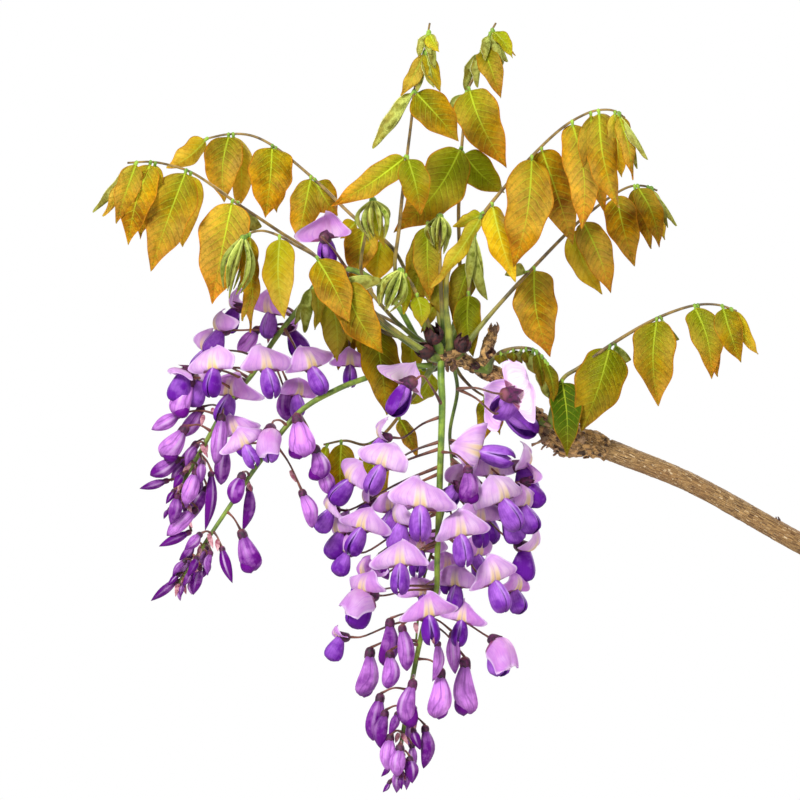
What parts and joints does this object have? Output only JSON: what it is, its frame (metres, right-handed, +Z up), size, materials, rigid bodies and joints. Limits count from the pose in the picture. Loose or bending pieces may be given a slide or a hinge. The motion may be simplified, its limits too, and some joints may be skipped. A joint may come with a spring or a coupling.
{
  "type": "potted wisteria",
  "caption": "Flowering climbing plant with a leaning woody stem, feather-shaped leaves and hanging flower clusters, in a plain clay pot.",
  "frame": {"origin": "centre of the pot's flat underside", "axes": "+Z up, +X to the viewer's right with the plant leaning towards -X, +Y away from the viewer"},
  "size_m": [0.5026, 0.224, 0.5438],
  "materials": {
    "clay": "unglazed, matt",
    "soil": "moist and crumbly",
    "bark": "rough bark",
    "leaf": "thin, satin, bronze-gold",
    "young_leaf": "thin, satin, green",
    "green_stalk": "satin",
    "petal": "thin, soft"
  },
  "bodies": {
    "root": {"flower_left_lower_01": "petal", "flower_left_lower_02": "petal", "flower_left_upper_01": "petal", "flower_left_upper_02": "petal", "flower_left_upper_03": "petal", "flower_left_upper_04": "petal", "flower_left_upper_05": "petal", "flower_left_upper_06": "petal", "flower_main_01": "petal", "flower_main_02": "petal", "flower_main_03": "petal", "flower_main_04": "petal", "flower_main_05": "petal", "flower_main_06": "petal", "flower_main_07": "petal", "flower_main_08": "petal", "flower_main_09": "petal", "flower_main_10": "petal", "flower_main_11": "petal", "flower_rear_01": "petal", "flower_rear_02": "petal", "flower_rear_03": "petal", "flower_rear_04": "petal", "flower_rear_05": "petal", "flower_rear_06": "petal", "flower_rear_07": "petal", "flower_rear_08": "petal", "flower_rear_09": "petal", "flower_rear_10": "petal", "leaf_centre_left": "leaf", "leaf_centre_right": "leaf", "leaf_left_back": "leaf", "leaf_left_dark": "leaf", "leaf_left_front": "leaf", "leaf_left_short": "leaf", "leaf_low_left": "leaf", "leaf_low_right": "leaf", "leaf_right_low": "leaf", "leaf_right_middle": "leaf", "leaf_right_nodding": "leaf", "leaf_right_upper": "leaf", "leaf_top_left": "leaf", "leaf_top_right": "leaf", "leaf_young_centre": "young_leaf", "leaf_young_left": "young_leaf", "leaf_young_right": "young_leaf", "pot": "clay", "raceme_left_lower": "green_stalk", "raceme_left_upper": "green_stalk", "raceme_main": "green_stalk", "raceme_rear": "green_stalk", "soil": "soil", "woody_stem": "bark"}
  },
  "joints": []
}
